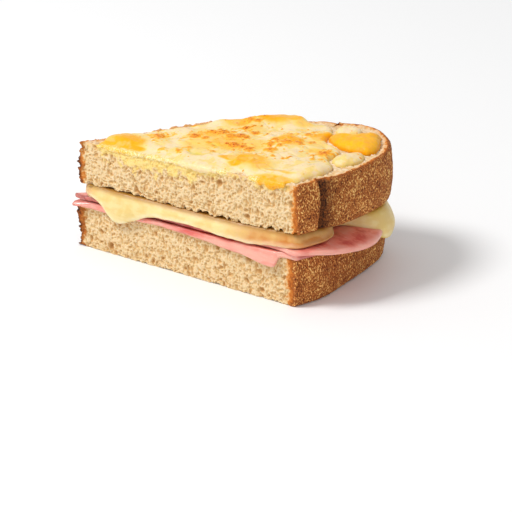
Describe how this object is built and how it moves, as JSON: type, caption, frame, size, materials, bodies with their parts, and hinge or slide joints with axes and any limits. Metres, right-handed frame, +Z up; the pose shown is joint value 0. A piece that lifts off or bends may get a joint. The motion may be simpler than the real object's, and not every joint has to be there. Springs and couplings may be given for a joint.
{
  "type": "ham and cheese toastie half",
  "caption": "Half of a toasted sandwich, cut across: thick slices of bread with ham and melted cheese between them and grilled cheese on top.",
  "frame": {"origin": "on the floor below the middle of the whole piece's box", "axes": "+X along the cut face from the half's pointed end to its broad end, +Y from the cut face back over the bread, +Z up out of the bread's upper face"},
  "size_m": [0.1144, 0.0736, 0.0487],
  "materials": {
    "bread": "dry porous crumb with a brown, floury, finely flecked crust",
    "ham": "moist pink cooked ham, paler at its edges",
    "cheese": "softly glossy pale melted cheese",
    "melted_cheese": "glossy grilled cheese, pale and orange, with browned spots",
    "cheddar": "glossy orange melted cheese"
  },
  "bodies": {
    "root": {"bread_lower": "bread", "bread_upper": "bread", "ham_lower": "ham", "ham_upper": "ham", "cheese_slice": "cheese", "melted_topping": "melted_cheese", "cheddar_lump": "cheddar", "pale_lump_right": "melted_cheese", "pale_lump_back": "melted_cheese"}
  },
  "joints": []
}
